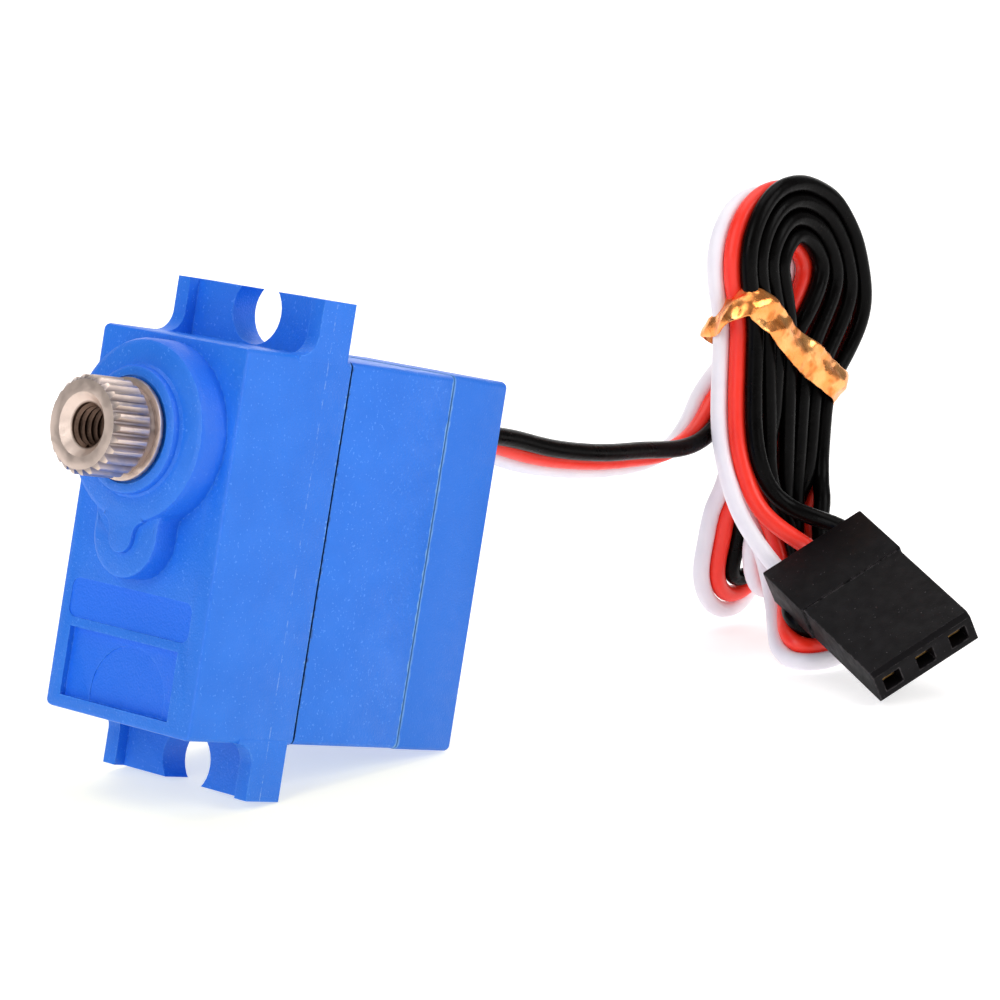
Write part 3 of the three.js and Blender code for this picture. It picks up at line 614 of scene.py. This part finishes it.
def wire_surface(name, colour, cloud, rough=0.36, shine=0.5):
    """Soft insulation."""
    s = Surface(name, colour, rough)
    s.shader.inputs["Specular IOR Level"].default_value = shine
    s.paint(s.ramp(s.noise(2.5, 2), 0.4, 0.7), cloud, 0.7)
    s.gloss(s.noise(1.2, 3), rough - 0.05, rough + 0.12)
    s.bump(s.noise(0.45, 2), 0.02)
    return s.material


def board_surface():
    """Green circuit board with tracks."""
    s = Surface("board_green", (0.01, 0.11, 0.045), 0.4)
    tracks = s.add("ShaderNodeTexBrick", offset=0.5)
    tracks.inputs["Scale"].default_value = 900
    tracks.inputs["Mortar Size"].default_value = 0.06
    s.link(s.place, tracks.inputs["Vector"])
    s.paint(tracks.outputs["Fac"], (0.03, 0.2, 0.08), 0.8)
    s.gloss(s.noise(0.6, 2), 0.3, 0.45)
    s.bump(tracks.outputs["Fac"], 0.03)
    return s.material


def armature_surface():
    """Copper windings."""
    s = Surface("armature_copper", (0.75, 0.32, 0.16), 0.3, 1.0)
    turns = s.add("ShaderNodeTexWave", wave_type="BANDS", bands_direction="Z")
    turns.inputs["Scale"].default_value = 2500
    turns.inputs["Distortion"].default_value = 0.4
    s.link(s.place, turns.inputs["Vector"])
    s.bump(turns.outputs["Fac"], 0.05)
    s.paint(turns.outputs["Fac"], (0.5, 0.18, 0.08), 0.4)
    s.gloss(s.noise(0.6, 2), 0.25, 0.45)
    return s.material


def foil_surface():
    """Gold foil with painted highlights and painted shade in patches, standing in for lit and
    shaded folds.
    """
    s = Surface("gold_foil", (1.0, 0.35, 0.095), 0.24, 1.0)
    # Painted highlight: lighter patches, by noise.
    s.paint(s.ramp(s.noise(1.5, 2), 0.5, 0.62), (1.0, 0.52, 0.19), 0.7)
    # Painted shade: darker patches, by noise, for the shaded folds.
    s.paint(s.ramp(s.noise(1.1, 2), 0.56, 0.66), (0.5, 0.14, 0.02), 0.65)
    s.gloss(s.noise(0.8, 2), 0.18, 0.36)
    s.bump(s.noise(1.6, 1), 0.16)
    s.bump(s.noise(0.35, 2), 0.02)
    return s.material


METALS = {
    "screw_steel": dict(colour=(0.5, 0.5, 0.5), rough=0.3, stain=(0.35, 0.34, 0.32)),
    "nickel_steel": dict(
        colour=(0.7, 0.57, 0.5), rough=0.34, depth=0.006, stain=(0.52, 0.43, 0.38), bore=1.42
    ),
    "gear_brass": dict(colour=(0.8, 0.6, 0.26), rough=0.28, stain=(0.6, 0.4, 0.16)),
    "tinned_metal": dict(colour=(0.72, 0.72, 0.7), rough=0.35, stain=(0.5, 0.5, 0.48)),
    "contact_gold": dict(colour=(0.5, 0.3, 0.1), rough=0.3, stain=(0.34, 0.19, 0.06)),
}
PLASTICS = {
    "dark_plastic": dict(
        colour=(0.003, 0.0025, 0.003),
        rough=0.5,
        cloud=(0.005, 0.004, 0.005),
        wear=(0.14, 0.125, 0.13),
        shine=0.1,
    ),
    "pale_resin": dict(colour=(0.62, 0.52, 0.34), rough=0.45, cloud=(0.7, 0.6, 0.42)),
    "grommet_rubber": dict(colour=(0.012, 0.012, 0.013), rough=0.6, cloud=(0.02, 0.02, 0.02)),
}
INSULATION = {
    "black_wire": dict(
        colour=(0.0008, 0.0006, 0.0006), cloud=(0.0016, 0.0013, 0.0013), rough=0.28, shine=0.07
    ),
    "red_wire": dict(colour=(1.0, 0.03, 0.012), cloud=(0.9, 0.022, 0.01)),
    "white_wire": dict(colour=(0.9, 0.86, 0.91), cloud=(0.83, 0.79, 0.86)),
}
looks = {
    "case_blue": case_surface(),
    "armature_copper": armature_surface(),
    "board_green": board_surface(),
    "gold_foil": foil_surface(),
}
KINDS = ((metal_surface, METALS), (plastic_surface, PLASTICS), (wire_surface, INSULATION))
for surface, table in KINDS:
    looks.update({name: surface(name, **facts) for name, facts in table.items()})


def dress(piece, slot):
    """Gives a piece its material."""
    piece.data.materials.clear()
    piece.data.materials.append(looks[slot])


# The first part of a CAD node's name that matches says which finish it has.
NODE_SLOTS = {
    "upper_case": "case_blue",
    "middle_case": "case_blue",
    "bottom_cover": "case_blue",
    "case_screw": "screw_steel",
    "output_gear_shaft": "nickel_steel",
    "gear_3": "nickel_steel",
    "idler_pin": "nickel_steel",
    "motor_can": "nickel_steel",
    "output_bush": "gear_brass",
    "gear_": "gear_brass",
    "motor_pinion": "gear_brass",
    "motor_armature": "armature_copper",
    "motor_end_cap": "dark_plastic",
    "motor_terminal": "tinned_metal",
    "motor_driver_chip": "dark_plastic",
    "controller_chip": "dark_plastic",
    "capacitor": "pale_resin",
    "circuit_board": "board_green",
    "potentiometer_body": "dark_plastic",
    "potentiometer_wiper": "pale_resin",
    "potentiometer_leg": "tinned_metal",
    "cable_grommet": "grommet_rubber",
    "black_wire": "black_wire",
    "red_wire": "red_wire",
    "white_wire": "white_wire",
    "lead_": "black_wire",
    "twist_tie": "gold_foil",
    "connector_housing": "dark_plastic",
    "connector_contact": "contact_gold",
}
for name, node in nodes.items():
    dress(node, next(slot for start, slot in NODE_SLOTS.items() if name.startswith(start)))
for colour in wires:
    dress(wires[colour], f"{colour}_wire")


# ---------------------------------------------------------------- CAD nodes: softened edges
WELD_REACH, FLAT_WITHIN, SHARP_FROM = 0.002, 0.6, 28  # millimetres, and two angles in degrees


def soften(node, width, segments):
    """Merges a CAD node's facets into whole faces and rounds its edges, with modifiers alone."""
    faces = node.data.polygons
    faces.foreach_set("use_smooth", [True] * len(faces))
    weld = node.modifiers.new("weld", "WELD")
    weld.merge_threshold = WELD_REACH * MM
    whole = node.modifiers.new("whole_faces", "DECIMATE")
    whole.decimate_type = "DISSOLVE"
    whole.angle_limit = math.radians(FLAT_WITHIN)
    bevel = node.modifiers.new("soft_edges", "BEVEL")
    bevel.width = width * MM
    bevel.segments = segments
    bevel.limit_method = "ANGLE"
    bevel.angle_limit = math.radians(SHARP_FROM)
    bevel.use_clamp_overlap = True
    bevel.harden_normals = True


EDGE_WIDTHS = {
    "upper_case": 0.24,
    "middle_case": 0.1,
    "bottom_cover": 0.1,
    "output_gear_shaft": 0.05,
    "connector_housing": 0.1,
    "cable_grommet": 0.1,
}
OTHER_EDGES = 0.04
for name, node in nodes.items():
    if not node.hide_render:
        soften(node, EDGE_WIDTHS.get(name, OTHER_EDGES), 3 if name == "upper_case" else 2)


# ---------------------------------------------------------------- new pieces
TIE_PATH = [
    (42.0, -3.3, 23.4),
    (43.4, -3.85, 22.2),
    (45.6, -3.85, 20.2),
    (48.2, -3.95, 18.4),
    (50.4, -3.8, 16.9),
    (51.75, -2.9, 16.2),
    (51.8, -0.9, 16.3),
    (50.0, 0.55, 17.2),
    (47.0, 0.85, 19.1),
    (43.6, 0.95, 21.0),
    (42.3, 0.4, 21.6),
    (41.55, -0.8, 22.1),
    (41.4, -2.2, 23.1),
]
BAND_HALF, BAND_SIDES, BAND_STEPS = 1.16, 24, 22
FOIL, CORE, CORE_REACH = 0.15, 0.15, 0.3
DEEPEST_FOLD = -0.13


def tie_band():
    """A crinkled foil ribbon with a wire down its middle, closed round the hank."""
    line = smooth_line(TIE_PATH, BAND_STEPS, closed=True)
    along = unit(np.roll(line, -1, 0) - np.roll(line, 1, 0))
    middle = line.mean(0)
    out = line - middle
    out = unit(out - (out * along).sum(1)[:, None] * along)
    wide = unit(np.cross(along, out))
    rings = []
    for i, place in enumerate(line):
        ring = []
        turn = 0.35 * noise.noise(Vector(place) * 0.45) + 0.1 * noise.noise(Vector(place) * 1.3)
        a = math.cos(turn) * wide[i] + math.sin(turn) * out[i]
        b = math.cos(turn) * out[i] - math.sin(turn) * wide[i]
        half = BAND_HALF + 0.14 * noise.noise(Vector(place) * 0.9 + Vector((7, 0, 0)))
        for j in range(BAND_SIDES):
            angle = 2 * math.pi * j / BAND_SIDES
            c, s = math.cos(angle), math.sin(angle)
            across = math.copysign(abs(c) ** 0.7, c)
            thick = FOIL + CORE * math.exp(-((across / CORE_REACH) ** 2))
            spot = place + half * across * a
            slanted = Vector(spot) + Vector(along[i]) * 0.9 * across
            fold = 0.46 * noise.noise(slanted * 0.5) + 0.1 * noise.noise(slanted * 1.3)
            ring.append(spot + (thick * s + max(fold, DEEPEST_FOLD)) * b)
        rings.append(np.array(ring) * MM)
    return sweep(rings, True)


band = add_mesh("twist_tie_band", *tie_band(), ROOT)
dress(band, "gold_foil")
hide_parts("twist_tie")


TWIST_PATH = [(46.6, 0.95, 19.4), (47.3, 2.1, 20.4), (48.4, 3.3, 21.9), (49.0, 3.9, 23.6)]
TWIST_STEP, TWIST_PITCH, TWIST_SIDES = 0.12, 2.6, 12


def tie_ends():
    """The tie's two ends, twisted together behind the hank."""
    core = evenly(smooth_line(TWIST_PATH), TWIST_STEP)
    along = unit(np.gradient(core, axis=0))
    side = unit(np.cross(along, np.array((0, 1, 0.2))))
    other = np.cross(along, side)
    both = []
    for start in (0, math.pi):
        rings = []
        for i, place in enumerate(core):
            angle = start + i * TWIST_STEP / TWIST_PITCH * 2 * math.pi
            out = math.cos(angle) * side[i] + math.sin(angle) * other[i]
            flat = np.cross(along[i], out)
            ring = []
            for j in range(TWIST_SIDES):
                turn = 2 * math.pi * j / TWIST_SIDES
                spot = place + out * (0.26 + 0.2 * math.sin(turn)) + flat * 0.78 * math.cos(turn)
                ring.append(spot + out * 0.06 * noise.noise(Vector(spot) * 2.2))
            rings.append(np.array(ring) * MM)
        both.append(sweep(rings, False))
    return both


for number, (points, faces) in enumerate(tie_ends()):
    dress(add_mesh(f"twist_tie_end_{number + 1}", points, faces, ROOT), "gold_foil")


THREAD_FOOT, THREAD_CREST, THREAD_PITCH = 1.33, 1.12, 0.5
THREAD_START, THREAD_TURNS, STEPS_PER_TURN = 0.75, 8, 40
# The ridge's outline: radius, and place along the shaft.
THREAD_OUTLINE = (
    (THREAD_FOOT, -0.23),
    (THREAD_CREST, -0.05),
    (THREAD_CREST, 0.05),
    (THREAD_FOOT, 0.23),
)


def shaft_thread():
    """The screw thread inside the shaft's hole: a helical ridge with its foot in the wall."""
    line = np.array(outward)
    across = unit(np.cross(line, np.array((0, 1, 0))))
    other = np.array((0.0, 1.0, 0.0))
    rings = []
    for i in range(THREAD_TURNS * STEPS_PER_TURN + 1):
        angle = 2 * math.pi * i / STEPS_PER_TURN
        out = math.cos(angle) * across + math.sin(angle) * other
        depth = THREAD_START + THREAD_PITCH * i / STEPS_PER_TURN
        place = np.array(output_tip) / MM - line * depth
        ring = [place + out * reach + line * shift for reach, shift in THREAD_OUTLINE]
        rings.append(np.array(ring) * MM)
    return sweep(rings, False)


thread = add_mesh("shaft_thread", *shaft_thread(), "output_drive", smooth=False)
dress(thread, "nickel_steel")


# ---------------------------------------------------------------- floor and light
# In metres here.
FLOOR_HALF, FLOOR_GAP = 3.0, 0.00005
# The warm patch that takes the case's blue light off the floor: its middle, and where it fades.
PATCH_PLACE, PATCH_OUTER, PATCH_INNER = (-0.008, -0.006, 0), 0.034, 0.012


def glow(surface, strength):
    """Makes a surface give off white light."""
    surface.shader.inputs["Emission Color"].default_value = (1, 1, 1, 1)
    surface.shader.inputs["Emission Strength"].default_value = strength


def add_card(name, corners, material, height=0.0):
    """A flat four-sided piece of the stage."""
    mesh = bpy.data.meshes.new(name)
    mesh.from_pydata(corners, [], [(0, 1, 2, 3)])
    mesh.materials.append(material)
    card = bpy.data.objects.new(name, mesh)
    card.location.z = height
    bpy.context.scene.collection.objects.link(card)


def add_floor():
    """A white floor just under the object."""
    s = Surface("floor", (0.78, 0.76, 0.75), 0.7)
    s.paint(s.noise(40, 2), (0.75, 0.73, 0.72), 0.5)
    under = s.add("ShaderNodeVectorMath", operation="DISTANCE")
    s.link(s.place, under.inputs[0])
    under.inputs[1].default_value = PATCH_PLACE
    patch = s.ramp(under.outputs["Value"], PATCH_OUTER, PATCH_INNER)
    s.paint(patch, (0.74, 0.68, 0.4), 0.85)
    s.gloss(s.noise(15, 3), 0.6, 0.75)
    s.bump(s.noise(1.2, 2), 0.01, 0.3)
    glow(s, 0.55)
    half = FLOOR_HALF
    corners = [(-half, -half, 0), (half, -half, 0), (half, half, 0), (-half, half, 0)]
    add_card("floor", corners, s.material, -FLOOR_GAP)


def add_backdrop():
    """A white lit card behind the object, square to the camera."""
    s = Surface("backdrop", (0.9, 0.9, 0.9), 0.8)
    glow(s, 1.1)
    s.gloss(s.noise(60, 2), 0.75, 0.85)
    place, up = Vector((0.9, 0.82, 0)), Vector((0, 0, 0.8))
    side = Vector((0.74, -0.67, 0)) * 1.2
    low, high = place - up, place + up
    add_card("backdrop", [low - side, low + side, high + side, high - side], s.material)


# What the lights point at, in metres.
TARGET = Vector((0.01, 0, 0.015))


def add_softbox(name, place, size, power):
    """A rectangular light, aimed at the target. Its size is in metres and its power in watts."""
    data = bpy.data.lights.new(name, "AREA")
    data.shape = "RECTANGLE"
    data.size, data.size_y = size
    data.energy = power
    light = bpy.data.objects.new(name, data)
    light.location = place
    light.rotation_mode = "QUATERNION"
    light.rotation_quaternion = (TARGET - Vector(place)).to_track_quat("-Z", "Y")
    bpy.context.scene.collection.objects.link(light)


add_floor()
add_backdrop()
add_softbox("overhead", (0.05, 0.1, 0.55), (0.5, 0.5), 1.6)
add_softbox("key", (0.16, -0.48, 0.3), (0.3, 0.4), 1.5)
add_softbox("left_fill", (-0.5, -0.05, 0.25), (0.3, 0.4), 1.3)

world = bpy.data.worlds.new("studio")
world.use_nodes = True
background = world.node_tree.nodes["Background"]
background.inputs["Color"].default_value = (1, 1, 1, 1)
background.inputs["Strength"].default_value = 0.25
bpy.context.scene.world = world
bpy.context.scene.view_settings.view_transform = "Standard"
